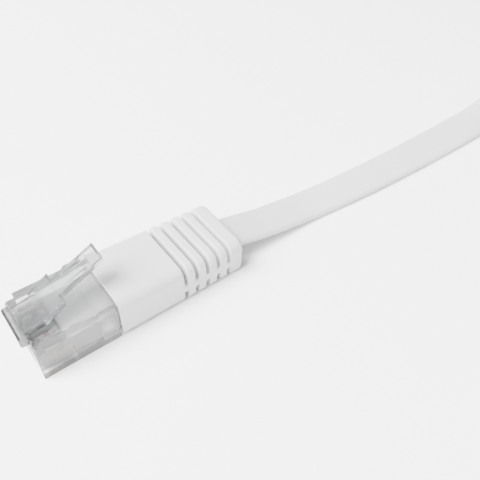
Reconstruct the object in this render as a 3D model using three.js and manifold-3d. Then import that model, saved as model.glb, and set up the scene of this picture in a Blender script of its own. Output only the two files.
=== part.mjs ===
// Flat ethernet patch cable: two clear 8P8C plugs with ribbed boots on 0.91 m of flat cord.
// Millimetres, +Z up. Each plug is built with its nose at x = 0, its contacts down and its latch up.
import * as THREE from 'three';
import { mergeVertices } from 'three/addons/utils/BufferGeometryUtils.js';
import Module from 'manifold-3d';

const wasm = await Module();
wasm.setup();

// ---------------------------------------------------------------- driving dimensions
const GAP = 0.3;                     // clearance between neighbouring solids

const PLUG = {
  width: 11.68,
  noseStep: 1.0,                     // how far the latch root stands in front of the mating face
  lowTop: 5.65,                      // top of the ledge behind the mating face
  shoulderX: 2.45,                   // where the ledge steps up to the front top
  faceChamfer: { back: 0.3, down: 0.4 },
  frontTop: 6.8,
  rearTop: 7.4,
  rampStart: 10.2,
  rampEnd: 10.8,
  length: 13.5,                      // length in front of the boot
  neck: { end: 21.4, halfWidth: 5.2, bottom: 1.0, top: 6.6 },
  cavity: { start: 5.6, frontHalfWidth: 3.9, flareEnd: 12.4, halfWidth: 4.7, bottom: 1.5, top: 5.6 },
  channel: { start: 2.6, end: 5.4, halfWidth: 4.25, floor: 5.9 },
  root: { halfWidth: 3.2, bottom: 5.6, top: 7.65, thickness: 1.1 },
};

const PINS = { count: 8, pitch: 1.02 };
const SLOT = { width: 0.62, end: 6.5, top: 4.0 };
const BLADE = { thickness: 0.32, start: 1.5, end: 6.2, bottom: 0.55, shoulder: 3.2, tip: 3.85 };
const WIRE = { radius: 0.33, start: 2.0, height: 4.7, straightEnd: 4.2, end: 5.6, jacketPitch: 0.8 };
const WEDGE = { start: 11.2, end: 13.2, halfWidth: 3.6, bottom: 0.4, top: 3.4, chamfer: 0.6, window: 4.0 };

// The living hinge turns about a line across the plug at x = 1.25, z = 7.1.
const LATCH = {
  neckStart: 1.4,
  wideStart: 4.1,
  catchX: 7.6,
  tipX: 14.6,
  neckTop: 7.65,
  wideTop: 8.4,
  catchTop: 10.55,
  tipTop: 13.8,
  neckThickness: 0.75,
  thickness: 1.2,
  neckHalfWidth: 2.61,
  wideHalfWidth: 3.01,
  tabHalfWidth: 1.625,
  overlap: 0.4,                      // how far the tab starts inside the wide part
  tabDrop: { top: 0.15, bottom: 0.1 },
  recess: { start: 8.5, end: 12.9, halfWidth: 0.9, depth: 0.9 },
};

const BOOT = {
  start: PLUG.length + GAP,
  end: 36.7,
  halfWidth: 6.1,
  frontHeight: 7.7,
  rearHeight: 6.7,
  corner: 1.7,
  pocket: { end: 21.8, halfWidth: 5.5, bottom: 0.7, top: 6.9 },
  bore: { halfWidth: 3.8, halfHeight: 1.0 },
  firstGroove: 25.1,
  grooves: 5,
  groovePitch: 2.17,
  grooveWidth: 0.9,
  grooveDepth: 0.8,
  webBottom: 2.1,
  webTop: 3.9,
};

const CORD = { width: 7.0, thickness: 1.4, exitHeight: 3.5 };

// Inside the plug the jacket is pressed up under the roof, and it comes down again in the boot.
const JACKET = { height: 4.5, fallStart: 12, fallEnd: 20 };

// The coil: the cord stands on edge, wound clockwise seen from above, outermost turn first.
const COIL = {
  centreX: 127,
  outerRadius: 39.75,
  pitch: 2.6,
  turns: 3,
  entryY: -3.3,
};
COIL.centreY = COIL.entryY - COIL.outerRadius;
COIL.innerRadius = COIL.outerRadius - COIL.pitch * COIL.turns;

const RISE = { radius: 30.05, height: 11.3 };    // the cord's inner end climbs out of the coil's middle
const TIE = { width: 5, thickness: 0.4, inner: 31.45, outer: 38.95, top: 7.75 };

const FAR_PLUG = { tailX: 76.4, axisHeight: BOOT.halfWidth };

// ---------------------------------------------------------------- materials
function plastic(color, roughness, opacity = 1) {
  return new THREE.MeshStandardMaterial({
    color, roughness, metalness: 0, opacity, transparent: opacity < 1,
  });
}
const MATERIALS = {
  clear: plastic(0xd5d9da, 0.12, 0.4),
  boot: plastic(0xe9e9ea, 0.5),
  jacket: plastic(0xe6e6e8, 0.45),
  tie: plastic(0xf0f0ee, 0.7),
  gold: new THREE.MeshStandardMaterial({ color: 0xd9b55a, roughness: 0.25, metalness: 1 }),
};
const WIRE_COLOURS = [
  ['white_orange', 0xeabf9a], ['orange', 0xe0761f], ['white_green', 0xbcd9b8], ['blue', 0x2c55a8],
  ['white_blue', 0xb5c4e4], ['green', 0x2f8a45], ['white_brown', 0xcdb9a8], ['brown', 0x7a4a2c],
];

// ---------------------------------------------------------------- solids
function solid(geometry) {
  const bare = geometry.clone();
  bare.deleteAttribute('normal');
  bare.deleteAttribute('uv');
  const merged = mergeVertices(bare, 1e-4);
  return new wasm.Manifold(new wasm.Mesh({
    numProp: 3,
    vertProperties: new Float32Array(merged.attributes.position.array),
    triVerts: new Uint32Array(merged.index.array),
  }));
}

function geometryOf(manifold) {
  const mesh = manifold.getMesh();
  const geometry = new THREE.BufferGeometry();
  geometry.setAttribute('position', new THREE.BufferAttribute(mesh.vertProperties, 3));
  geometry.setIndex(new THREE.BufferAttribute(mesh.triVerts, 1));
  geometry.computeVertexNormals();
  return geometry;
}

function box(x0, x1, y0, y1, z0, z1) {
  const geometry = new THREE.BoxGeometry(x1 - x0, y1 - y0, z1 - z0);
  return geometry.translate((x0 + x1) / 2, (y0 + y1) / 2, (z0 + z1) / 2);
}

function centredBox(x0, x1, halfWidth, z0, z1) {
  return box(x0, x1, -halfWidth, halfWidth, z0, z1);
}

// A plan outline of [x, y] points, extruded from z0 up to z1.
function planProfile(points, z0, z1) {
  const shape = new THREE.Shape(points.map(([x, y]) => new THREE.Vector2(x, y)));
  return new THREE.ExtrudeGeometry(shape, { depth: z1 - z0, bevelEnabled: false }).translate(0, 0, z0);
}

// A side outline of [x, z] points, extruded to a width across Y and centred on y = 0.
function sideProfile(points, width) {
  const shape = new THREE.Shape(points.map(([x, z]) => new THREE.Vector2(x, z)));
  const geometry = new THREE.ExtrudeGeometry(shape, { depth: width, bevelEnabled: false });
  return geometry.rotateX(Math.PI / 2).translate(0, width / 2, 0);
}

function mesh(name, geometry, material) {
  const part = new THREE.Mesh(geometry, material);
  part.name = name;
  return part;
}

function pinY(index) {
  return (PINS.count / 2 - 0.5 - index) * PINS.pitch;
}

// ---------------------------------------------------------------- plug
function housing() {
  const { root, neck, cavity, channel } = PLUG;
  let body = solid(sideProfile([
    [PLUG.noseStep, 0], [PLUG.length, 0], [PLUG.length, PLUG.rearTop], [PLUG.rampEnd, PLUG.rearTop],
    [PLUG.rampStart, PLUG.frontTop], [PLUG.shoulderX, PLUG.frontTop], [PLUG.shoulderX, PLUG.lowTop],
    [PLUG.noseStep + PLUG.faceChamfer.back, PLUG.lowTop],
    [PLUG.noseStep, PLUG.lowTop - PLUG.faceChamfer.down],
  ], PLUG.width));
  body = body.add(solid(centredBox(PLUG.length - 1, neck.end, neck.halfWidth, neck.bottom, neck.top)));

  const rootTop = root.top - 0.3;
  const ledge = channel.floor;
  body = body.subtract(solid(centredBox(channel.start, channel.end, channel.halfWidth, ledge, root.top + 1)));
  body = body.subtract(solid(centredBox(
    root.thickness, channel.start + 1, channel.halfWidth, ledge, root.top,
  )));
  body = body.add(solid(sideProfile([
    [0.25, root.bottom], [channel.start, root.bottom], [channel.start, ledge], [root.thickness, ledge],
    [root.thickness, root.top], [0.35, root.top], [0, rootTop], [0, root.bottom + 0.4],
  ], root.halfWidth * 2)));

  body = body.subtract(solid(planProfile([
    [cavity.start, -cavity.frontHalfWidth], [cavity.flareEnd, -cavity.halfWidth],
    [neck.end + 1, -cavity.halfWidth], [neck.end + 1, cavity.halfWidth],
    [cavity.flareEnd, cavity.halfWidth], [cavity.start, cavity.frontHalfWidth],
  ], cavity.bottom, cavity.top)));
  const wireRoom = WIRE.radius + 0.25;
  const wireSpan = pinY(0) + wireRoom;
  body = body.subtract(solid(centredBox(
    WIRE.start - GAP, cavity.start + 1, wireSpan, WIRE.height - wireRoom, WIRE.height + wireRoom,
  )));
  for (let pin = 0; pin < PINS.count; pin += 1) {
    const y = pinY(pin);
    const half = SLOT.width / 2;
    body = body.subtract(solid(box(PLUG.noseStep - 1, SLOT.end, y - half, y + half, -1, SLOT.top)));
    body = body.subtract(solid(box(WIRE.start, SLOT.end, y - half, y + half, SLOT.top - 1, WIRE.height)));
  }
  body = body.subtract(solid(centredBox(
    WEDGE.start - GAP, WEDGE.end + GAP, WEDGE.window, -1, cavity.bottom + 1,
  )));
  return geometryOf(body);
}

function latch() {
  const { recess } = LATCH;
  const neck = solid(sideProfile([
    [LATCH.neckStart, LATCH.neckTop - LATCH.neckThickness],
    [LATCH.wideStart + LATCH.overlap / 2, LATCH.wideTop - LATCH.neckThickness],
    [LATCH.wideStart + LATCH.overlap / 2, LATCH.wideTop - 0.1],
    [LATCH.neckStart, LATCH.neckTop],
  ], LATCH.neckHalfWidth * 2));
  const wide = solid(sideProfile([
    [LATCH.wideStart, LATCH.wideTop - LATCH.thickness],
    [LATCH.catchX, LATCH.catchTop - LATCH.thickness],
    [LATCH.catchX, LATCH.catchTop],
    [LATCH.wideStart, LATCH.wideTop],
  ], LATCH.wideHalfWidth * 2));
  const tab = solid(sideProfile([
    [LATCH.catchX - LATCH.overlap, LATCH.catchTop - LATCH.thickness - LATCH.tabDrop.bottom],
    [LATCH.tipX, LATCH.tipTop - LATCH.thickness],
    [LATCH.tipX, LATCH.tipTop],
    [LATCH.catchX - LATCH.overlap, LATCH.catchTop - LATCH.tabDrop.top],
  ], LATCH.tabHalfWidth * 2));
  const slope = (LATCH.tipTop - LATCH.catchTop) / (LATCH.tipX - LATCH.catchX);
  const topAt = (x) => LATCH.catchTop + slope * (x - LATCH.catchX);
  const trough = solid(sideProfile([
    [recess.start, topAt(recess.start) - 0.1],
    [recess.end, topAt(recess.end) - recess.depth],
    [recess.end, topAt(recess.end) + 1],
    [recess.start, topAt(recess.start) + 1],
  ], recess.halfWidth * 2));
  return geometryOf(neck.add(wide).add(tab).subtract(trough));
}

function contactBlade(pin) {
  const { start, end, bottom, shoulder, tip } = BLADE;
  const crown = new THREE.Shape();
  crown.moveTo(start, shoulder);
  crown.lineTo(start, bottom + 0.6);
  crown.quadraticCurveTo(start, bottom, start + 0.6, bottom);
  crown.lineTo(end - 0.4, bottom);
  crown.lineTo(end, bottom + 0.4);
  crown.lineTo(end, shoulder);
  for (const spike of [5.4, 3.6]) {
    crown.lineTo(spike + 0.5, shoulder);
    crown.lineTo(spike, tip);
    crown.lineTo(spike - 0.5, shoulder);
  }
  crown.closePath();
  const outline = crown.getPoints(4).map((point) => [point.x, point.y]);
  return sideProfile(outline.slice(0, -1), BLADE.thickness).translate(0, pinY(pin), 0);
}

function curveThrough(points) {
  const places = points.map((point) => new THREE.Vector3(...point));
  return new THREE.CatmullRomCurve3(places, false, 'centripetal');
}

// A polygonal bar swept along straight and gently bent runs.
function sweep(points, section, steps) {
  const extrudePath = curveThrough(points);
  return new THREE.ExtrudeGeometry(section, { steps, extrudePath, bevelEnabled: false });
}

function polygon(sides, radius) {
  const corners = [];
  for (let i = 0; i < sides; i += 1) {
    const angle = (2 * Math.PI * (i + 0.5)) / sides;
    corners.push(new THREE.Vector2(radius * Math.cos(angle), radius * Math.sin(angle)));
  }
  return new THREE.Shape(corners);
}

function conductor(pin) {
  const y = pinY(pin);
  const jacketY = (y / PINS.pitch) * WIRE.jacketPitch;
  return sweep([
    [WIRE.start, y, WIRE.height],
    [WIRE.straightEnd - 1, y, WIRE.height],
    [WIRE.straightEnd, y, WIRE.height],
    [(WIRE.straightEnd + WIRE.end) / 2, (y + jacketY) / 2, (WIRE.height + JACKET.height) / 2],
    [WIRE.end, jacketY, JACKET.height],
  ], polygon(8, WIRE.radius), 9);
}

function clampWedge() {
  const { start, end, bottom, top, halfWidth, chamfer } = WEDGE;
  return sideProfile([
    [start, bottom], [end, bottom], [end, top - chamfer], [end - chamfer, top], [start, top],
  ], halfWidth * 2);
}

// ---------------------------------------------------------------- boot
function roundedSection(halfWidth, bottom, top, corner) {
  const shape = new THREE.Shape();
  shape.moveTo(-halfWidth + corner, bottom);
  shape.lineTo(halfWidth - corner, bottom);
  shape.absarc(halfWidth - corner, bottom + corner, corner, -Math.PI / 2, 0);
  shape.lineTo(halfWidth, top - corner);
  shape.absarc(halfWidth - corner, top - corner, corner, 0, Math.PI / 2);
  shape.lineTo(-halfWidth + corner, top);
  shape.absarc(-halfWidth + corner, top - corner, corner, Math.PI / 2, Math.PI);
  shape.lineTo(-halfWidth, bottom + corner);
  shape.absarc(-halfWidth + corner, bottom + corner, corner, Math.PI, Math.PI * 1.5);
  return shape;
}

// A section in Y and Z extruded along +X from the boot's front, its top falling towards the rear.
function taperedBar(section) {
  const length = BOOT.end - BOOT.start;
  const toWorld = new THREE.Matrix4().makeBasis(
    new THREE.Vector3(0, 1, 0), new THREE.Vector3(0, 0, 1), new THREE.Vector3(1, 0, 0),
  );
  const bar = new THREE.ExtrudeGeometry(section, { depth: length, curveSegments: 3, bevelEnabled: false });
  bar.applyMatrix4(toWorld);
  const position = bar.attributes.position;
  for (let i = 0; i < position.count; i += 1) {
    const share = position.getX(i) / length;
    position.setZ(i, position.getZ(i) * (1 + share * (BOOT.rearHeight / BOOT.frontHeight - 1)));
  }
  return solid(bar.translate(BOOT.start, 0, 0));
}

function boot() {
  const { halfWidth, frontHeight, corner, grooveDepth, pocket, bore } = BOOT;
  let body = taperedBar(roundedSection(halfWidth, 0, frontHeight, corner));
  const core = taperedBar(roundedSection(
    halfWidth - grooveDepth, grooveDepth, frontHeight - grooveDepth, corner - grooveDepth / 2,
  ));
  for (let i = 0; i < BOOT.grooves; i += 1) {
    const x = BOOT.firstGroove + i * BOOT.groovePitch;
    const above = solid(centredBox(x, x + BOOT.grooveWidth, halfWidth + 1, BOOT.webTop, frontHeight + 1));
    const below = solid(centredBox(x, x + BOOT.grooveWidth, halfWidth + 1, -1, BOOT.webBottom));
    body = body.subtract(above.add(below).subtract(core));
  }
  body = body.subtract(solid(centredBox(
    BOOT.start - 1, pocket.end, pocket.halfWidth, pocket.bottom, pocket.top,
  )));
  body = body.subtract(solid(centredBox(
    pocket.end - 1, BOOT.end + 1, bore.halfWidth,
    CORD.exitHeight - bore.halfHeight, CORD.exitHeight + bore.halfHeight,
  )));
  return geometryOf(body);
}

// ---------------------------------------------------------------- cord
// The flat cord's section: width along the first axis, thickness along the second, corners cut.
function cordOutline() {
  const w = CORD.width / 2;
  const t = CORD.thickness / 2;
  const cut = CORD.thickness * 0.3;
  return [
    [w - cut, -t], [w, -t + cut], [w, t - cut], [w - cut, t],
    [-w + cut, t], [-w, t - cut], [-w, -t + cut], [-w + cut, -t],
  ];
}

// A flat strip along stations of { centre, tangent, roll }: a straight extrusion with one step per
// station, laid onto the route. Roll 0 lies flat and roll of a quarter turn stands on edge.
function strip(stations) {
  const shape = new THREE.Shape(cordOutline().map(([w, t]) => new THREE.Vector2(w, t)));
  const steps = stations.length - 1;
  const geometry = new THREE.ExtrudeGeometry(shape, { steps, depth: steps, bevelEnabled: false });
  const position = geometry.attributes.position;
  for (let i = 0; i < position.count; i += 1) {
    const { centre, tangent, roll } = stations[Math.round(position.getZ(i))];
    const across = new THREE.Vector3(-tangent.y, tangent.x, 0).normalize();
    const above = new THREE.Vector3().crossVectors(tangent, across).normalize();
    const width = across.clone().multiplyScalar(Math.cos(roll)).addScaledVector(above, Math.sin(roll));
    const normal = new THREE.Vector3().crossVectors(tangent, width);
    const place = centre.clone()
      .addScaledVector(width, position.getX(i))
      .addScaledVector(normal, position.getY(i));
    position.setXYZ(i, place.x, place.y, place.z);
  }
  return geometryOf(solid(geometry));
}

function smoothStep(from, to, value) {
  const share = Math.min(1, Math.max(0, (value - from) / (to - from)));
  return share * share * (3 - 2 * share);
}

function stationsAlong(points, count, rollAt) {
  const curve = curveThrough(points);
  const stations = [];
  for (let i = 0; i <= count; i += 1) {
    const centre = curve.getPointAt(i / count);
    stations.push({ centre, tangent: curve.getTangentAt(i / count), roll: rollAt(centre) });
  }
  return stations;
}

// From the near boot the cord drops to the surface, runs flat, then turns onto its edge.
const QUARTER_TURN = Math.PI / 2;
const TWIST = {
  slow: { share: 0.24, start: 40, end: 130 },
  fast: { share: 0.76, start: 100, end: 127 },
};
const NEAR_ROUTE = [
  [BOOT.end + GAP, -0.25, 3.45],
  [40, -0.6, 3.2],
  [43, -0.85, 2.6],
  [46, -0.95, 2.05],
  [50, -1.05, 1.5],
  [54, -1.2, 1.0],
  [58, -1.5, 0.82],
  [64, -2.05, 0.9],
  [72, -2.6, 1.02],
  [80, -2.92, 1.16],
  [88, -3.14, 1.3],
  [96, -3.26, 1.43],
  [104, COIL.entryY, 1.75],
  [107, COIL.entryY, 2.1],
  [110, COIL.entryY, 2.5],
];

// The last of the cord at each end, inside the boot and the plug.
function jacketEnd() {
  const xs = [WIRE.end + GAP, 9, JACKET.fallStart, 14, 16, 18, JACKET.fallEnd, 28, BOOT.end - GAP];
  const fall = CORD.exitHeight - JACKET.height;
  const heightAt = (x) => JACKET.height + fall * smoothStep(JACKET.fallStart, JACKET.fallEnd, x);
  return strip(xs.map((x) => ({
    centre: new THREE.Vector3(x, 0, heightAt(x)),
    tangent: new THREE.Vector3(1, 0, 0),
    roll: 0,
  })));
}

function nearCord() {
  const roll = (centre) => QUARTER_TURN * (
    TWIST.slow.share * smoothStep(TWIST.slow.start, TWIST.slow.end, centre.x)
    + TWIST.fast.share * smoothStep(TWIST.fast.start, TWIST.fast.end, centre.x)
  );
  return strip(stationsAlong(NEAR_ROUTE, 36, roll));
}

// The inner end climbs round the inside of the coil, crosses over it and runs to the far boot.
function farRoute() {
  const points = [];
  const climbSteps = 7;
  for (let i = 0; i <= climbSteps; i += 1) {
    const share = i / climbSteps;
    const angle = Math.PI * (0.12 - 0.62 * share);
    points.push([
      COIL.centreX + RISE.radius * Math.cos(angle),
      COIL.centreY + RISE.radius * Math.sin(angle),
      CORD.width / 2 + 1 + (RISE.height - CORD.width / 2 - 1) * smoothStep(0, 0.95, share),
    ]);
  }
  const crossingY = COIL.centreY - RISE.radius;
  points.push([120, crossingY, RISE.height]);
  points.push([112, crossingY, RISE.height]);
  points.push([105, crossingY, 11.2]);
  points.push([99, crossingY, 10.75]);
  points.push([94, crossingY, 9.8]);
  points.push([89, crossingY, 8.55]);
  points.push([85, crossingY, 7.5]);
  points.push([81.5, crossingY, 6.7]);
  points.push([79, crossingY, 6.3]);
  points.push([FAR_PLUG.tailX + GAP, crossingY, FAR_PLUG.axisHeight]);
  return points;
}

function farCord() {
  return strip(stationsAlong(farRoute(), 40, () => QUARTER_TURN));
}

function coil() {
  const inner = COIL.innerRadius - CORD.thickness / 2;
  const outer = COIL.outerRadius + CORD.thickness / 2;
  const rim = 0.4;
  const height = CORD.width + 0.05;
  const outline = [
    [inner + rim, 0], [outer - rim, 0], [outer, rim], [outer, height - rim],
    [outer - rim, height], [inner + rim, height], [inner, height - rim], [inner, rim], [inner + rim, 0],
  ].map(([radius, z]) => new THREE.Vector2(radius, z));
  const ring = solid(new THREE.LatheGeometry(outline, 56).rotateX(Math.PI / 2));
  const halfWidth = TIE.width / 2 + GAP;
  const aroundTie = solid(box(-outer - 1, 0, -halfWidth, halfWidth, -1, height + 1));
  const bundle = solid(box(
    -TIE.outer + GAP, -TIE.inner - GAP, -halfWidth - 1, halfWidth + 1, TIE.thickness + GAP, height + 2,
  ));
  return geometryOf(ring.subtract(aroundTie.subtract(bundle)));
}

function tieBand() {
  const { thickness, inner, outer, top, width } = TIE;
  const outside = solid(centredBox(-outer - thickness, -inner + thickness, width / 2, 0, top + thickness));
  const opening = solid(centredBox(-outer, -inner, width / 2 + 1, thickness, top));
  return geometryOf(outside.subtract(opening));
}

// ---------------------------------------------------------------- assembly
function plugAssembly(end) {
  const group = new THREE.Group();
  group.add(mesh(`${end}_housing`, housing(), MATERIALS.clear.clone()));
  group.add(mesh(`${end}_latch`, latch(), MATERIALS.clear.clone()));
  group.add(mesh(`${end}_clamp_wedge`, clampWedge(), MATERIALS.clear.clone()));
  for (let pin = 0; pin < PINS.count; pin += 1) {
    const [colourName, colour] = WIRE_COLOURS[pin];
    group.add(mesh(`${end}_contact_${pin + 1}`, contactBlade(pin), MATERIALS.gold.clone()));
    group.add(mesh(`${end}_wire_${pin + 1}_${colourName}`, conductor(pin), plastic(colour, 0.45)));
  }
  group.add(mesh(`${end}_boot`, boot(), MATERIALS.boot.clone()));
  group.add(mesh(`${end}_jacket_end`, jacketEnd(), MATERIALS.jacket.clone()));
  return group;
}

const cable = new THREE.Group();
cable.add(plugAssembly('near'));

const farPlug = plugAssembly('far');
farPlug.rotation.x = Math.PI / 2;               // the far plug lies on its side, latch outwards
farPlug.position.set(
  FAR_PLUG.tailX - BOOT.end, COIL.centreY - RISE.radius + CORD.exitHeight, FAR_PLUG.axisHeight,
);
cable.add(farPlug);

cable.add(mesh('cord_near_run', nearCord(), MATERIALS.jacket.clone()));
cable.add(mesh('cord_far_run', farCord(), MATERIALS.jacket.clone()));

const coilRing = mesh('cord_coil', coil(), MATERIALS.jacket.clone());
coilRing.position.set(COIL.centreX, COIL.centreY, 0);
cable.add(coilRing);

const tie = mesh('coil_tie', tieBand(), MATERIALS.tie.clone());
tie.position.set(COIL.centreX, COIL.centreY, 0);
cable.add(tie);

cable.position.x = -BOOT.end / 2;               // origin under the middle of the near plug and boot

export default cable;
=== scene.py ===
"""Flat ethernet patch cable: two clear modular plugs with ribbed boots on 0.91 m of flat cord.

The scene is in metres. A plug and its boot are modelled in their own space, in millimetres times MM, with the
nose at x = 0, contacts down and latch up, and are then carried to the near end or the far end of the cord.
"""
import math

import bmesh
import bpy
from mathutils import Matrix, Vector


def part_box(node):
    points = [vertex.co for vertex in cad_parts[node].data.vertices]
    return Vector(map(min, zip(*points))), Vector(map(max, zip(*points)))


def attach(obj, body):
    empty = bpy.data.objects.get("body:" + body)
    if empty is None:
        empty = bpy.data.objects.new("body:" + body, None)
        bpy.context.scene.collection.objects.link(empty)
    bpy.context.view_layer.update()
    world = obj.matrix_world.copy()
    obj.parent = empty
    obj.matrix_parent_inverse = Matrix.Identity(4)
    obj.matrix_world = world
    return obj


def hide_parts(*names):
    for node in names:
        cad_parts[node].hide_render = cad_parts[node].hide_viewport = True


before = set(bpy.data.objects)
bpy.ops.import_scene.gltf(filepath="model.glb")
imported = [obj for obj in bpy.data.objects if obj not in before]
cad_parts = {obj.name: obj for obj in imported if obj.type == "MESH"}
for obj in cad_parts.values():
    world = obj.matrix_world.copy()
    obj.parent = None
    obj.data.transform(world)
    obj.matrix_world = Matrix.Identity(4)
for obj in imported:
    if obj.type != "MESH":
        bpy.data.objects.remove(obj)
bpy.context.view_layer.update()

MM = 0.001
QUARTER = math.pi / 2
NOSE_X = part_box("near_housing")[0][0]            # the near plug's nose
BOOT_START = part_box("near_boot")[0][0] - NOSE_X  # the boot's front and rear, from the nose
BOOT_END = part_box("near_boot")[1][0] - NOSE_X

# ------------------------------------------------------------------ placing
FAR_NOSE_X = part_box("far_housing")[0][0]
FAR_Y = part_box("far_boot")[1][1]                 # underside of the far plug, which lies on its side
FAR_AXIS_HEIGHT = (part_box("far_boot")[0][2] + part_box("far_boot")[1][2]) / 2
ENDS = {
    "near": Matrix.Translation((NOSE_X, 0, 0)),
    "far": Matrix.Translation((FAR_NOSE_X, FAR_Y, FAR_AXIS_HEIGHT)) @ Matrix.Rotation(QUARTER, 4, "X"),
}


# ------------------------------------------------------------------ camera, light, floor
LIGHTS = {                                       # place, size, power
    "key": ((-0.62, 0.12, 0.56), (0.8, 0.72), 46.0),
    "overhead": ((-0.33, 0.12, 0.76), (0.4, 0.4), 23.0),
    "strip": ((0.36, -0.57, 0.41), (0.45, 0.08), 2.5),
}
LIGHTS_AIM = Vector((0.02, 0, 0))
WORLD_STRENGTH = 0.2
FLOOR_HALF = 2.0
FLOOR_HEIGHT = -0.05 * MM                        # just below the undersides that rest at z = 0


def place_camera():
    azimuth = math.radians(-38.99)
    elevation = math.radians(46.56)
    roll = math.radians(2.16)
    distance = 0.1001
    target = Vector((NOSE_X + 0.0404, -0.0004, 0))
    back = Vector((
        math.sin(azimuth) * math.cos(elevation),
        -math.cos(azimuth) * math.cos(elevation),
        math.sin(elevation),
    ))
    right = (-back).cross(Vector((0, 0, 1))).normalized()
    up = right.cross(-back)
    turned_right = right * math.cos(roll) + up * math.sin(roll)
    turned_up = up * math.cos(roll) - right * math.sin(roll)
    camera = bpy.data.objects.new("camera", bpy.data.cameras.new("camera"))
    camera.data.lens = 41.78
    camera.data.sensor_width = 36
    camera.data.clip_start = 0.005
    rotation = Matrix((turned_right, turned_up, back)).transposed().to_4x4()
    camera.matrix_world = Matrix.Translation(target + back * distance) @ rotation
    bpy.context.collection.objects.link(camera)
    bpy.context.scene.camera = camera


def area_light(name, position, size, power):
    light = bpy.data.lights.new(name, "AREA")
    light.shape = "RECTANGLE"
    light.size, light.size_y = size
    light.energy = power
    obj = bpy.data.objects.new(name, light)
    obj.location = position
    obj.rotation_euler = (LIGHTS_AIM - Vector(position)).to_track_quat("-Z", "Y").to_euler()
    bpy.context.collection.objects.link(obj)


def light_scene():
    for name, (position, size, power) in LIGHTS.items():
        area_light(name, position, size, power)
    world = bpy.data.worlds.new("studio")
    world.use_nodes = True
    background = world.node_tree.nodes["Background"]
    background.inputs["Color"].default_value = (1, 1, 1, 1)
    background.inputs["Strength"].default_value = WORLD_STRENGTH
    bpy.context.scene.world = world


def make_floor():
    half = FLOOR_HALF
    corners = [(-half, -half, 0), (half, -half, 0), (half, half, 0), (-half, half, 0)]
    mesh = bpy.data.meshes.new("floor")
    mesh.from_pydata(corners, [], [(0, 1, 2, 3)])
    floor = bpy.data.objects.new("floor", mesh)
    floor.location.z = FLOOR_HEIGHT
    bpy.context.collection.objects.link(floor)
    mesh.materials.append(principled("floor_white", (0.95, 0.95, 0.95), roughness=0.8)[0])


# ------------------------------------------------------------------ materials
def principled(name, color, roughness, **sockets):
    material = bpy.data.materials.new(name)
    material.use_nodes = True
    shader = material.node_tree.nodes["Principled BSDF"]
    shader.inputs["Base Color"].default_value = (*color, 1)
    shader.inputs["Roughness"].default_value = roughness
    for socket, value in sockets.items():
        shader.inputs[socket.replace("_", " ")].default_value = value
    return material, shader


def add_bump(material, shader, scale, strength, distance):
    """Fine surface relief from noise in object space."""
    nodes, links = material.node_tree.nodes, material.node_tree.links
    coordinates = nodes.new("ShaderNodeTexCoord")
    noise = nodes.new("ShaderNodeTexNoise")
    noise.inputs["Scale"].default_value = scale
    noise.inputs["Detail"].default_value = 3.0
    bump = nodes.new("ShaderNodeBump")
    bump.inputs["Strength"].default_value = strength
    bump.inputs["Distance"].default_value = distance
    links.new(coordinates.outputs["Object"], noise.inputs["Vector"])
    links.new(noise.outputs["Fac"], bump.inputs["Height"])
    links.new(bump.outputs["Normal"], shader.inputs["Normal"])


def clear_plastic(name, color, density):
    """Polycarbonate: what it lets through is tinted at its surfaces and dimmed along its thickness."""
    material, shader = principled(name, color, 0.1, Transmission_Weight=0.94, IOR=1.5)
    nodes, links = material.node_tree.nodes, material.node_tree.links
    absorption = nodes.new("ShaderNodeVolumeAbsorption")
    absorption.inputs["Color"].default_value = (0.5, 0.51, 0.52, 1)
    absorption.inputs["Density"].default_value = density
    links.new(absorption.outputs["Volume"], nodes["Material Output"].inputs["Volume"])
    add_bump(material, shader, 900, 0.15, 0.03 * MM)
    return material, shader


# Share of the housing's length from the nose, and the grey there: root, contact block, cord's cavity. The
# greys are painted shade: darkest at the root, grey over the contact block, near white around the cord.
HOUSING_PAINTED_SHADE = ((0.045, 0.28), (0.07, 0.74), (0.25, 0.74), (0.3, 0.97))


def housing_plastic():
    """The plug's body, with painted shade: greyer in the block that grips the contacts than around the cord.
    """
    material, shader = clear_plastic("clear_polycarbonate", (0.96, 0.97, 0.98), 110)
    nodes, links = material.node_tree.nodes, material.node_tree.links
    coordinates = nodes.new("ShaderNodeTexCoord")
    split = nodes.new("ShaderNodeSeparateXYZ")
    # Ramp of painted shade along the body's length, from the nose to the rear.
    painted_shade_ramp = nodes.new("ShaderNodeValToRGB")
    elements = painted_shade_ramp.color_ramp.elements
    while len(elements) < len(HOUSING_PAINTED_SHADE):
        elements.new(0.5)
    for element, (share, grey) in zip(elements, HOUSING_PAINTED_SHADE):
        element.position = share
        element.color = (grey, grey, grey, 1)
    links.new(coordinates.outputs["Generated"], split.inputs["Vector"])
    links.new(split.outputs["X"], painted_shade_ramp.inputs["Fac"])
    links.new(painted_shade_ramp.outputs["Color"], shader.inputs["Base Color"])
    return material


def latch_plastic_painted_shade():
    # Greyer and denser than the body: painted shade standing in for the dark look that refraction gives the
    # tab.
    return clear_plastic("latch_polycarbonate_painted_shade", (0.66, 0.67, 0.68), 170)[0]


def wedge_plastic():
    return clear_plastic("wedge_polycarbonate", (0.94, 0.95, 0.96), 110)[0]


WHITE_PVC = (0.53, 0.53, 0.54)


def boot_plastic():
    material, shader = principled("white_pvc_boot", WHITE_PVC, 0.33, Specular_IOR_Level=0.4)
    add_bump(material, shader, 5000, 0.12, 0.03 * MM)
    return material


def jacket_plastic(name, color):
    material, shader = principled(name, color, 0.38, Specular_IOR_Level=0.4)
    add_bump(material, shader, 2500, 0.12, 0.03 * MM)
    return material


def strap_plastic():
    material, shader = principled("white_strap", (0.82, 0.82, 0.81), 0.6)
    add_bump(material, shader, 3000, 0.3, 0.05 * MM)
    return material


def gold_plate():
    material, shader = principled("gold_plated_contact", (0.32, 0.26, 0.18), 0.36, Metallic=1.0)
    add_bump(material, shader, 4000, 0.15, 0.02 * MM)
    return material


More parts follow.
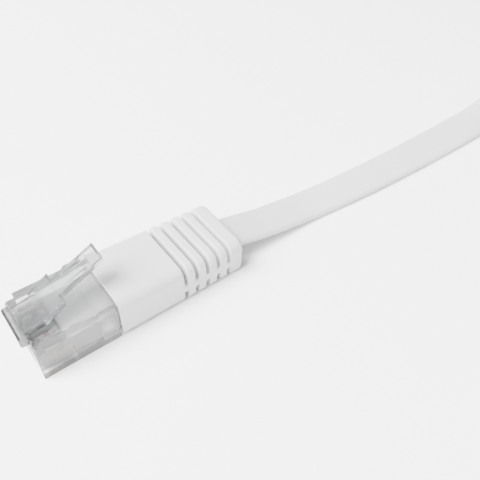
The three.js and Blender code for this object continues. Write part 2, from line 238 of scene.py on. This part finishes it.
WIRES = {                                        # ground and stripe colours, muted
    "1_white_orange": ((0.85, 0.84, 0.82), (0.72, 0.64, 0.58)),
    "2_orange": ((0.7, 0.62, 0.56), None),
    "3_white_green": ((0.82, 0.84, 0.82), (0.44, 0.49, 0.45)),
    "4_blue": ((0.4, 0.43, 0.49), None),
    "5_white_blue": ((0.82, 0.83, 0.85), (0.4, 0.43, 0.49)),
    "6_green": ((0.44, 0.49, 0.45), None),
    "7_white_brown": ((0.84, 0.82, 0.8), (0.45, 0.38, 0.33)),
    "8_brown": ((0.45, 0.38, 0.33), None),
}


def insulation_name(wire):
    """The colour's name without the pin's number."""
    return "insulation_" + wire.split("_", 1)[1]


def add_stripes(material, shader, ground, stripe):
    nodes, links = material.node_tree.nodes, material.node_tree.links
    coordinates = nodes.new("ShaderNodeTexCoord")
    wave = nodes.new("ShaderNodeTexWave")
    wave.inputs["Scale"].default_value = 140
    wave.inputs["Distortion"].default_value = 0.6
    crest = nodes.new("ShaderNodeMath")
    crest.operation = "GREATER_THAN"
    crest.inputs[1].default_value = 0.72
    mix = nodes.new("ShaderNodeMix")
    mix.data_type = "RGBA"
    mix.inputs["A"].default_value = (*ground, 1)
    mix.inputs["B"].default_value = (*stripe, 1)
    links.new(coordinates.outputs["Object"], wave.inputs["Vector"])
    links.new(wave.outputs["Fac"], crest.inputs[0])
    links.new(crest.outputs["Value"], mix.inputs["Factor"])
    links.new(mix.outputs["Result"], shader.inputs["Base Color"])


def wire_plastic(wire, ground, stripe):
    material, shader = principled(insulation_name(wire), ground, 0.35)
    if stripe:
        add_stripes(material, shader, ground, stripe)
    add_bump(material, shader, 3000, 0.1, 0.02 * MM)
    return material


# ------------------------------------------------------------------ mesh helpers
def loft(name, rings, material, closed=False):
    """A smooth skin over rings that all have the same number of points, capped unless its rings close."""
    count = len(rings[0])
    vertices = [tuple(point) for ring in rings for point in ring]
    faces = []
    spans = len(rings) if closed else len(rings) - 1
    for i in range(spans):
        a, b = i * count, ((i + 1) % len(rings)) * count
        for j in range(count):
            k = (j + 1) % count
            faces.append((a + j, a + k, b + k, b + j))
    if not closed:
        faces.append(tuple(reversed(range(count))))
        faces.append(tuple(range(len(vertices) - count, len(vertices))))
    mesh = bpy.data.meshes.new(name)
    mesh.from_pydata(vertices, [], faces)
    mesh.validate()
    obj = bpy.data.objects.new(name, mesh)
    bpy.context.collection.objects.link(obj)
    mesh.materials.append(material)
    mesh.shade_smooth()
    point_faces_out(mesh)
    return obj


def point_faces_out(mesh):
    work = bmesh.new()
    work.from_mesh(mesh)
    bmesh.ops.recalc_face_normals(work, faces=work.faces)
    work.to_mesh(mesh)
    work.free()


def round_edges(obj, width, segments):
    modifier = obj.modifiers.new("rounded edges", "BEVEL")
    modifier.width = width
    modifier.segments = segments
    modifier.limit_method = "ANGLE"
    modifier.angle_limit = math.radians(30)
    return modifier


def tangent_at(path, i):
    return (path[min(i + 1, len(path) - 1)] - path[max(i - 1, 0)]).normalized()


def catmull_rom(points, spacing):
    """Centripetal spline through the points, sampled about every spacing."""
    points = [Vector(p) for p in points]
    padded = [2 * points[0] - points[1]] + points + [2 * points[-1] - points[-2]]
    samples = []
    for p0, p1, p2, p3 in zip(padded, padded[1:], padded[2:], padded[3:]):
        t0 = 0.0
        t1 = t0 + math.sqrt((p1 - p0).length)
        t2 = t1 + math.sqrt((p2 - p1).length)
        t3 = t2 + math.sqrt((p3 - p2).length)
        steps = max(1, round((p2 - p1).length / spacing))
        for i in range(steps):
            t = t1 + (t2 - t1) * i / steps
            a1 = p0.lerp(p1, (t - t0) / (t1 - t0))
            a2 = p1.lerp(p2, (t - t1) / (t2 - t1))
            a3 = p2.lerp(p3, (t - t2) / (t3 - t2))
            b1 = a1.lerp(a2, (t - t0) / (t2 - t0))
            b2 = a2.lerp(a3, (t - t1) / (t3 - t1))
            samples.append(b1.lerp(b2, (t - t1) / (t2 - t1)))
    samples.append(points[-1])
    return samples


def smooth_step(low, high, value):
    share = min(1.0, max(0.0, (value - low) / (high - low)))
    return share * share * (3 - 2 * share)


def finish_piece(obj, end, node):
    """Carries a piece from plug space to its end of the cord, ties it to its body and hides the CAD node it
    stands in for.
    """
    obj.data.transform(ENDS[end])
    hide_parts(node)
    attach(obj, "cable")
    return obj


# ------------------------------------------------------------------ cord
CORD_WIDTH = 7 * MM
CORD_THICKNESS = 1.4 * MM
CORD_STEP = 1.2 * MM                             # between the sections along it
FLUTE = 0.035 * MM                               # depth of the hollows between the four pairs
PAIRS = 4
COIL = {"x": 127 * MM, "outer": 39.75 * MM, "pitch": 2.6 * MM, "turns": 3, "entry_y": -3.3 * MM}
COIL["y"] = COIL["entry_y"] - COIL["outer"]
COIL["inner"] = COIL["outer"] - COIL["pitch"] * COIL["turns"]
STEPS_PER_TURN = 24
STRAP_LIFT = {"height": 0.55 * MM, "spread": 0.02}  # where the turns lie on the strap's lower band
CROSSING = {"radius": 30.05 * MM, "height": 11.3 * MM, "drawn_in_by": 0.4}
NEAR_ROUTE = [                                   # x from the nose, y, z
    (33, 0, 3.5), (37, -0.25, 3.45), (40, -0.6, 3.2), (43, -0.85, 2.6), (46, -0.95, 2.05), (50, -1.05, 1.5),
    (54, -1.2, 1.0), (58, -1.5, 0.82), (64, -2.05, 0.9), (72, -2.6, 1.02), (80, -2.92, 1.16),
    (88, -3.14, 1.3), (96, -3.26, 1.43), (104, -3.3, 1.75), (107, -3.3, 2.1), (110, -3.3, 2.5),
    (116, -3.3, 3.23), (122, -3.3, 3.49),
]
FAR_ROUTE = [                                    # x from the nose, z
    (120, 11.3), (112, 11.3), (105, 11.2), (99, 10.75), (94, 9.8), (89, 8.55), (85, 7.5), (81.5, 6.7),
    (79, 6.3), (76.7, 6.1), (73, 6.1),
]
ROLL = ((0.24, 40, 130), (0.76, 100, 127))       # share of the quarter turn, its start and end from the nose


def around_coil(angle, radius, height):
    return Vector((COIL["x"] + radius * math.cos(angle), COIL["y"] + radius * math.sin(angle), height))


def cord_route():
    """Out of the near boot, three turns inwards on edge, half a turn up and over the coil to the far boot."""
    standing = CORD_WIDTH / 2
    points = [Vector((x, y, z)) * MM for x, y, z in NEAR_ROUTE]
    for i in range(STEPS_PER_TURN * COIL["turns"] + 1):
        angle = QUARTER - 2 * math.pi * i / STEPS_PER_TURN
        radius = COIL["outer"] - COIL["pitch"] * i / STEPS_PER_TURN
        at_strap = math.exp(-((math.cos(angle) + 1) / STRAP_LIFT["spread"]) ** 2)
        points.append(around_coil(angle, radius, standing + STRAP_LIFT["height"] * at_strap))
    half = STEPS_PER_TURN // 2
    for i in range(1, half + 1):
        drawn_in = smooth_step(0, CROSSING["drawn_in_by"], i / half)
        radius = COIL["inner"] + (CROSSING["radius"] - COIL["inner"]) * drawn_in
        height = standing + (CROSSING["height"] - standing) * smooth_step(0, 1, i / half)
        points.append(around_coil(QUARTER - math.pi * i / half, radius, height))
    crossing_y = COIL["y"] - CROSSING["radius"]
    points += [Vector((x * MM, crossing_y, z * MM)) for x, z in FAR_ROUTE]
    return [point + Vector((NOSE_X, 0, 0)) for point in points]


def cord_section():
    """Offsets across and through the flat jacket, faintly fluted over its four pairs."""
    cap = CORD_THICKNESS / 2
    flat = CORD_WIDTH / 2 - cap
    across = 20
    cap_steps = 6
    outline = []
    for side in (1, -1):
        for i in range(across + 1):
            w = side * flat * (1 - 2 * i / across)
            flute = FLUTE * (0.5 - 0.5 * math.cos(2 * math.pi * PAIRS * (w + flat) / (2 * flat)))
            outline.append((w, side * (cap - FLUTE + flute)))
        for i in range(1, cap_steps):
            angle = QUARTER + math.pi * i / cap_steps
            outline.append((side * (-flat + cap * math.cos(angle)), side * cap * math.sin(angle)))
    return outline


def cord_roll(x):
    """Nearly flat in front, turning onto its edge before the coil."""
    from_nose = (x - NOSE_X) / MM
    return QUARTER * sum(share * smooth_step(start, end, from_nose) for share, start, end in ROLL)


def ribbon(name, path, rolls, material):
    """The flat jacket along a path; roll 0 lies flat and a quarter turn stands on edge."""
    section = cord_section()
    rings = []
    for i, centre in enumerate(path):
        tangent = tangent_at(path, i)
        across = Vector((-tangent.y, tangent.x, 0)).normalized()
        above = tangent.cross(across).normalized()
        width = across * math.cos(rolls[i]) + above * math.sin(rolls[i])
        normal = tangent.cross(width)
        rings.append([centre + width * w + normal * t for w, t in section])
    return loft(name, rings, material)


def make_cord(material):
    path = catmull_rom(cord_route(), CORD_STEP)
    rolls = []
    on_edge = False
    for centre in path:
        on_edge = on_edge or centre.x > NOSE_X + COIL["x"]
        rolls.append(QUARTER if on_edge else cord_roll(centre.x))
    cord = ribbon("cord", path, rolls, material)
    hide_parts("cord_near_run", "cord_far_run", "cord_coil")
    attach(cord, "cable")
    return cord, path


TAIL = {
    "start": 5.9, "finish": 33.0, "steps": 60,
    "height": 4.5, "fall": 1.0, "fall_start": 12.0, "fall_end": 20.0,
}


def make_jacket_end(end, material):
    """The cord's last stretch inside the boot and the plug, pressed up under the plug's roof."""
    path = []
    for i in range(TAIL["steps"] + 1):
        x = TAIL["start"] + (TAIL["finish"] - TAIL["start"]) * i / TAIL["steps"]
        height = TAIL["height"] - TAIL["fall"] * smooth_step(TAIL["fall_start"], TAIL["fall_end"], x)
        path.append(Vector((x, 0, height)) * MM)
    jacket = ribbon(f"{end}_jacket_tail", path, [0.0] * len(path), material)
    return finish_piece(jacket, end, f"{end}_jacket_end")


STRAP = {"band": 0.4 * MM, "corner": 0.8 * MM, "inner_corner": 0.56 * MM, "corner_steps": 4}


def strap_ring(centre, half, inset, corner, side):
    """One rounded rectangle in X and Z, at one side of the strap."""
    ring = []
    for quarter in range(4):
        middle = QUARTER * (quarter + 0.5)
        x = centre.x + math.copysign(half.x - inset - corner, math.cos(middle))
        z = centre.z + math.copysign(half.z - inset - corner, math.sin(middle))
        for step in range(STRAP["corner_steps"] + 1):
            angle = QUARTER * (quarter + step / STRAP["corner_steps"])
            turn = Vector((math.cos(angle), 0, math.sin(angle)))
            ring.append(Vector((x, centre.y + side * half.y, z)) + corner * turn)
    return ring


def make_tie(material):
    low, high = [Vector(corner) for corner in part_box("coil_tie")]
    centre = (low + high) / 2
    half = (high - low) / 2
    outside = (0, STRAP["corner"])
    inside = (STRAP["band"], STRAP["inner_corner"])
    faces = ((*outside, -1), (*outside, 1), (*inside, 1), (*inside, -1))
    tie = loft("tie", [strap_ring(centre, half, *face) for face in faces], material, closed=True)
    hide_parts("coil_tie")
    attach(tie, "cable")
    return tie


# ------------------------------------------------------------------ boot
BOOT = {
    "start": BOOT_START / MM, "end": BOOT_END / MM, "half_width": 6.1, "front_top": 7.7, "rear_top": 6.7,
    "corner": 1.7, "bottom_corner": 1.2, "lip": 0.12, "rear_rounding": 0.8,
    "pocket_end": 21.8, "mouth_depth": 1.0,
}
GROOVES = {
    "first": 25.4, "pitch": 2.08, "lead_in": 0.6, "depths": (1.5, 1.35, 1.3, 1.1, 1.0), "extra_on_top": 0.45,
    "half_floor": 0.16, "half_mouth": 0.46, "web_starts": (1.9, 2.3), "web_ends": (3.7, 4.1),
}
# Half-width, bottom, top and corner radius of the boot's hollows, from the cord's mouth to the plug's neck.
MOUTH = (3.8, 2.5, 4.5, 0.9)
BORE = (3.75, 2.6, 4.4, 0.85)
POCKET = (5.5, 0.7, 6.9, 0.4)


def rounded_ring(x, half_width, bottom, top, corner_top, corner_bottom):
    """A rounded rectangle in Y and Z, as pairs of a point and its outward direction."""
    arc_steps = 8
    side_steps = 16
    corners = (
        (half_width - corner_top, top - corner_top, corner_top),
        (-half_width + corner_top, top - corner_top, corner_top),
        (-half_width + corner_bottom, bottom + corner_bottom, corner_bottom),
        (half_width - corner_bottom, bottom + corner_bottom, corner_bottom),
    )
    arcs = []
    for quarter, (y, z, radius) in enumerate(corners):
        arc = []
        for i in range(arc_steps + 1):
            angle = QUARTER * (quarter + i / arc_steps)
            outward = Vector((0, math.cos(angle), math.sin(angle)))
            arc.append((Vector((x, y, z)) + radius * outward, outward))
        arcs.append(arc)
    ring = []
    for arc, next_arc in zip(arcs, arcs[1:] + arcs[:1]):
        ring += arc
        last, outward = arc[-1]
        ring += [(last.lerp(next_arc[0][0], i / side_steps), outward) for i in range(1, side_steps)]
    return ring


def groove_depth(x, z, upward):
    """How deep the boot's surface lies below its plain form: five grooves with a web at mid-side.

    The grooves are cut deeper into the top than into the sides; upward is 1 on the top.
    """
    depth = 0.0
    for i, full_depth in enumerate(GROOVES["depths"]):
        offset = abs(x - (GROOVES["first"] + i * GROOVES["pitch"]))
        share = 1 - smooth_step(GROOVES["half_floor"], GROOVES["half_mouth"], offset)
        depth = max(depth, full_depth * share)
    web = smooth_step(*GROOVES["web_starts"], z) * (1 - smooth_step(*GROOVES["web_ends"], z))
    return depth * (1 - web) * (1 + GROOVES["extra_on_top"] * max(0.0, upward))


def edge_inset(radius, from_end):
    """How far a rounded edge draws a surface in, at a distance from the end face."""
    rest = max(0.0, radius - from_end)
    return radius - math.sqrt(radius ** 2 - rest ** 2)


def boot_stations():
    """Where the boot's rings stand: close together at the front lip and over the grooves."""
    lip_spacing, lip_steps = 0.04, 4
    body_spacing, body_steps = 0.8, 12
    groove_spacing = 0.08
    closest = 0.05
    stations = [BOOT["start"] + lip_spacing * i for i in range(lip_steps + 1)]
    stations += [BOOT["start"] + body_spacing * i for i in range(1, body_steps + 1)]
    x = GROOVES["first"] - GROOVES["pitch"] * GROOVES["lead_in"]
    while x < BOOT["end"] - closest:
        stations.append(x)
        x += groove_spacing
    stations.append(BOOT["end"])
    return stations


def make_boot(end, material):
    rings = []
    for x in boot_stations():
        share = (x - BOOT["start"]) / (BOOT["end"] - BOOT["start"])
        top = BOOT["front_top"] + (BOOT["rear_top"] - BOOT["front_top"]) * share
        rounding = edge_inset(BOOT["lip"], x - BOOT["start"])
        rounding += edge_inset(BOOT["rear_rounding"], BOOT["end"] - x)
        plain = rounded_ring(x, BOOT["half_width"], 0, top, BOOT["corner"], BOOT["bottom_corner"])
        ring = []
        for point, outward in plain:
            inset = groove_depth(x, point.z, outward.z) + rounding
            ring.append((point - outward * inset) * MM)
        rings.append(ring)
    hollows = (
        (BOOT["end"], MOUTH), (BOOT["end"] - BOOT["mouth_depth"], BORE), (BOOT["pocket_end"], BORE),
        (BOOT["pocket_end"], POCKET), (BOOT["start"], POCKET),
    )
    for x, (half_width, bottom, top, corner) in hollows:
        ring = rounded_ring(x, half_width, bottom, top, corner, corner)
        rings.append([point * MM for point, _ in ring])
    boot = loft(f"{end}_boot_shell", rings, material, closed=True)
    return finish_piece(boot, end, f"{end}_boot")


# ------------------------------------------------------------------ plug
NECK = {"zone": 1.5 * MM, "front": 1.17 * MM}    # the latch's front corners, and where they are drawn to
ROUNDING = {"housing": 0.09 * MM, "latch": 0.3 * MM, "wedge": 0.1 * MM}
PINS = 8
PIN_PITCH = 1.02
WIRE_PITCH_IN_JACKET = 0.8
WIRE_RADIUS = 0.36 * MM
WIRE_STEP = 0.25 * MM
WIRE_SIDES = 14
# x, height and how far the conductors have drawn together by then, from the contacts to the jacket.
WIRE_ROUTE = ((2.0, 4.7, 0), (3.2, 4.7, 0), (4.2, 4.7, 0), (4.9, 4.6, 0.5), (6.0, 4.5, 1))


def copy_of_node(node, name, material, bevel, segments):
    """The CAD solid's own faces, joined where they are flat, with their edges rounded."""
    work = bmesh.new()
    work.from_mesh(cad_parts[node].data)
    bmesh.ops.remove_doubles(work, verts=work.verts, dist=0.001 * MM)
    bmesh.ops.dissolve_limit(work, angle_limit=math.radians(1), verts=work.verts, edges=work.edges)
    work.verts.index_update()
    corners = [vertex.co.copy() for vertex in work.verts]
    faces = [[vertex.index for vertex in face.verts] for face in work.faces]
    work.free()
    mesh = bpy.data.meshes.new(name)
    mesh.from_pydata(corners, [], faces)
    mesh.materials.append(material)
    obj = bpy.data.objects.new(name, mesh)
    bpy.context.collection.objects.link(obj)
    round_edges(obj, bevel, segments).harden_normals = True
    mesh.shade_smooth()
    return obj


def keep_node(node, material):
    """A CAD solid whose own shape shows: it only gets its finish."""
    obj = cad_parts[node]
    obj.data.materials.clear()
    obj.data.materials.append(material)
    return obj


def make_housing(end, material):
    housing = copy_of_node(f"{end}_housing", f"{end}_plug_body", material, ROUNDING["housing"], 2)
    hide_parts(f"{end}_housing")
    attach(housing, "cable")
    return housing


def meet_root(latch, end):
    """Draws the neck's front end up to the root that it grows out of."""
    to_plug = ENDS[end].inverted()
    for vertex in latch.data.vertices:
        place = to_plug @ vertex.co
        if place.x < NECK["zone"]:
            place.x = NECK["front"]
            vertex.co = ENDS[end] @ place


def make_latch(end, material):
    latch = copy_of_node(f"{end}_latch", f"{end}_latch_spring", material, ROUNDING["latch"], 4)
    meet_root(latch, end)
    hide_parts(f"{end}_latch")
    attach(latch, f"{end}_latch")
    return latch


def make_wedge(end, material):
    wedge = keep_node(f"{end}_clamp_wedge", material)
    round_edges(wedge, ROUNDING["wedge"], 2)
    return wedge


def make_contacts(end, material):
    return [keep_node(f"{end}_contact_{pin}", material) for pin in range(1, PINS + 1)]


def tube(name, points, radius, material):
    path = catmull_rom(points, WIRE_STEP)
    angles = [2 * math.pi * k / WIRE_SIDES for k in range(WIRE_SIDES)]
    rings = []
    for i, centre in enumerate(path):
        tangent = tangent_at(path, i)
        side = tangent.cross(Vector((0, 1, 0))).normalized()
        other = tangent.cross(side)
        rings.append([centre + (side * math.cos(a) + other * math.sin(a)) * radius for a in angles])
    return loft(name, rings, material)


def make_wires(end, materials):
    wires = []
    for pin, wire in enumerate(WIRES):
        from_middle = (PINS - 1) / 2 - pin
        y = from_middle * PIN_PITCH
        jacket_y = from_middle * WIRE_PITCH_IN_JACKET
        points = [Vector((x, y + (jacket_y - y) * drawn, z)) * MM for x, z, drawn in WIRE_ROUTE]
        obj = tube(f"{end}_conductor_{wire}", points, WIRE_RADIUS, materials[wire])
        wires.append(finish_piece(obj, end, f"{end}_wire_{wire}"))
    return wires


def make_plug(end, m):
    return [
        make_housing(end, m["housing"]),
        make_latch(end, m["latch"]),
        make_wedge(end, m["wedge"]),
        make_jacket_end(end, m["jacket_end"]),
        *make_contacts(end, m["gold"]),
        *make_wires(end, m["wires"]),
        make_boot(end, m["boot"]),
    ]


# ------------------------------------------------------------------ build
place_camera()
light_scene()
make_floor()
MATERIALS = {
    "housing": housing_plastic(),
    "latch": latch_plastic_painted_shade(),
    "wedge": wedge_plastic(),
    "boot": boot_plastic(),
    "jacket": jacket_plastic("white_pvc_jacket", WHITE_PVC),
    # Lighter than the cord's own jacket: painted light on the jacket inside the plug, where the clear housing
    # keeps light off it.
    "jacket_end": jacket_plastic("white_pvc_jacket_end_painted_light", (0.85, 0.85, 0.85)),
    "strap": strap_plastic(),
    "gold": gold_plate(),
    "wires": {wire: wire_plastic(wire, *colours) for wire, colours in WIRES.items()},
}
cord, cord_path = make_cord(MATERIALS["jacket"])
tie = make_tie(MATERIALS["strap"])
plugs = {end: make_plug(end, MATERIALS) for end in ENDS}
